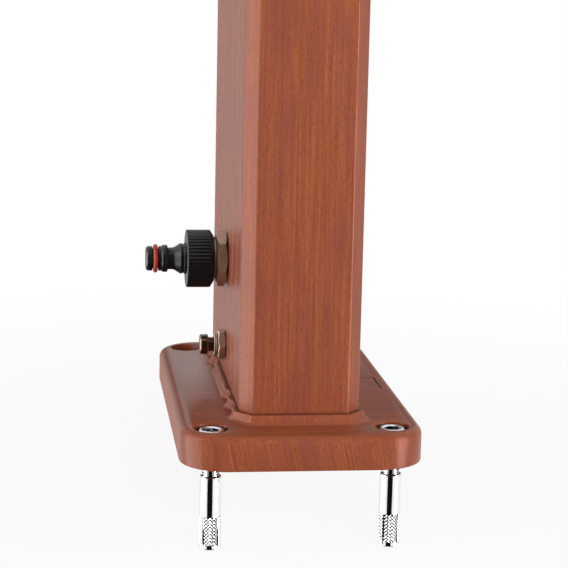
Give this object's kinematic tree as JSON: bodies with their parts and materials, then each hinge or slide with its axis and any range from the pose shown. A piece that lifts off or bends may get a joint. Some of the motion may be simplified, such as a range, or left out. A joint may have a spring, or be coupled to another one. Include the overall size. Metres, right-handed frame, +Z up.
{
  "type": "outdoor shower post",
  "caption": "Flat wood-look metal column on a bolted foot, with a hose inlet and drain low on one side, a lever mixer and a tilting shower head on an arm.",
  "frame": {"origin": "centre of the foot's underside, on the floor", "axes": "+Z up along the column; -Y to the front, where the mixer and the arm are; -X to the side with the hose inlet and the drain"},
  "size_m": [0.1586, 0.502, 2.1696],
  "materials": {
    "wood_column": "fine upright cherry grain printed on the coated metal, semi-gloss",
    "wood_foot": "the same wood print, weathered to grey-brown on the upper face",
    "bright_steel": "bright zinc, polished",
    "screw_steel": "plain stainless",
    "nickel_brass": "nickel-plated, satin",
    "plain_brass": "machined",
    "black_plastic": "moulded, satin black",
    "dark_plastic": "moulded",
    "black_rubber": "moulded",
    "red_rubber": "moulded, satin red",
    "pipe_steel": "drawn tube",
    "bright_chrome": "polished",
    "white_ceramic": "ground ceramic",
    "index_plastic": "two-colour button",
    "nozzle_plastic": "soft grey plastic"
  },
  "bodies": {
    "post": {"foot_plate": "wood_foot", "anchor_bolts": "bright_steel", "anchor_sleeves": "bright_steel", "anchor_cones": "bright_steel", "foot_screws": "screw_steel", "column": "wood_column", "bottom_plug": "dark_plastic", "bottom_plug_gasket": "black_rubber", "top_cap": "wood_column", "top_cap_gasket": "black_rubber", "top_cap_screws": "screw_steel", "inlet_body": "nickel_brass", "inlet_outer_washer": "black_rubber", "inlet_inner_washer": "black_rubber", "inlet_lock_nut": "nickel_brass", "riser_tee": "plain_brass", "tee_plug": "plain_brass", "valve_cage": "dark_plastic", "valve_spring": "screw_steel", "drain_body": "nickel_brass", "drain_outer_washer": "black_rubber", "drain_inner_washer": "black_rubber", "drain_lock_nut": "nickel_brass", "cold_riser_pipe": "pipe_steel", "hot_pickup_pipe": "pipe_steel", "mixed_riser_pipe": "pipe_steel", "pipe_union_nuts": "plain_brass", "mixer_housing": "plain_brass", "mixer_gasket": "black_rubber", "mixer_rosette": "bright_chrome", "mixer_shroud": "bright_chrome", "mixer_cartridge": "dark_plastic", "cartridge_nut": "plain_brass", "arm_elbow": "plain_brass", "shower_arm": "bright_chrome", "arm_rosette": "bright_chrome", "ball_stud": "bright_chrome"},
    "hose_connector": {"coupling_washer": "black_rubber", "hose_tail": "black_plastic", "hose_tail_o_ring": "red_rubber"},
    "coupling_ring": {"coupling_nut": "black_plastic"},
    "inlet_valve": {"valve_poppet": "dark_plastic"},
    "drain_seal": {"drain_o_ring": "black_rubber"},
    "drain_knob": {"drain_screw": "nickel_brass"},
    "mixer_turn": {"cartridge_carrier": "plain_brass", "ceramic_disc": "white_ceramic", "lever_pin": "screw_steel"},
    "mixer_handle": {"lever_stem": "plain_brass", "mixer_lever": "bright_chrome", "lever_screw": "screw_steel", "lever_index": "index_plastic"},
    "head_ball": {"ball_seat_ring": "dark_plastic"},
    "shower_head": {"ball_nut": "bright_chrome", "head_shell": "bright_chrome", "nozzle_plate": "nozzle_plastic"}
  },
  "joints": [
    {"name": "connector_slide", "type": "slide", "parent": "post", "child": "hose_connector", "axis": [-1, 0, 0], "range_m": [0, 0.009]},
    {"name": "coupling_turn", "type": "hinge", "parent": "hose_connector", "child": "coupling_ring", "pos_m": [-0.05, 0, 0.0982], "axis": [-1, 0, 0], "range_deg": [0, 1800]},
    {"name": "valve_lift", "type": "slide", "parent": "post", "child": "inlet_valve", "axis": [0, 0, 1], "range_m": [0, 0.005], "stiffness_N_per_m": 80, "springref_m": -0.005, "deforming": ["valve_spring"]},
    {"name": "drain_slide", "type": "slide", "parent": "post", "child": "drain_seal", "axis": [-1, 0, 0], "range_m": [0, 0.006]},
    {"name": "drain_turn", "type": "hinge", "parent": "drain_seal", "child": "drain_knob", "pos_m": [-0.045, 0, 0.045], "axis": [-1, 0, 0], "range_deg": [0, 1740]},
    {"name": "mixer_turn_joint", "type": "hinge", "parent": "post", "child": "mixer_turn", "pos_m": [0, -0.112, 1.05], "axis": [0, -1, 0], "range_deg": [-45, 45]},
    {"name": "mixer_lift_joint", "type": "hinge", "parent": "mixer_turn", "child": "mixer_handle", "pos_m": [0, -0.112, 1.05], "axis": [-1, 0, 0], "range_deg": [0, 25]},
    {"name": "head_tilt_joint", "type": "hinge", "parent": "post", "child": "head_ball", "pos_m": [0, -0.302, 1.939], "axis": [1, 0, 0], "range_deg": [-18, 18]},
    {"name": "head_spin_joint", "type": "hinge", "parent": "head_ball", "child": "shower_head", "pos_m": [0, -0.302, 1.939], "axis": [0, 0, 1], "continuous": true}
  ],
  "couplings": [
    {"joint": "coupling_turn", "follows": "connector_slide", "rad_per_m": 3463.7},
    {"joint": "drain_turn", "follows": "drain_slide", "rad_per_m": 5026.5}
  ]
}
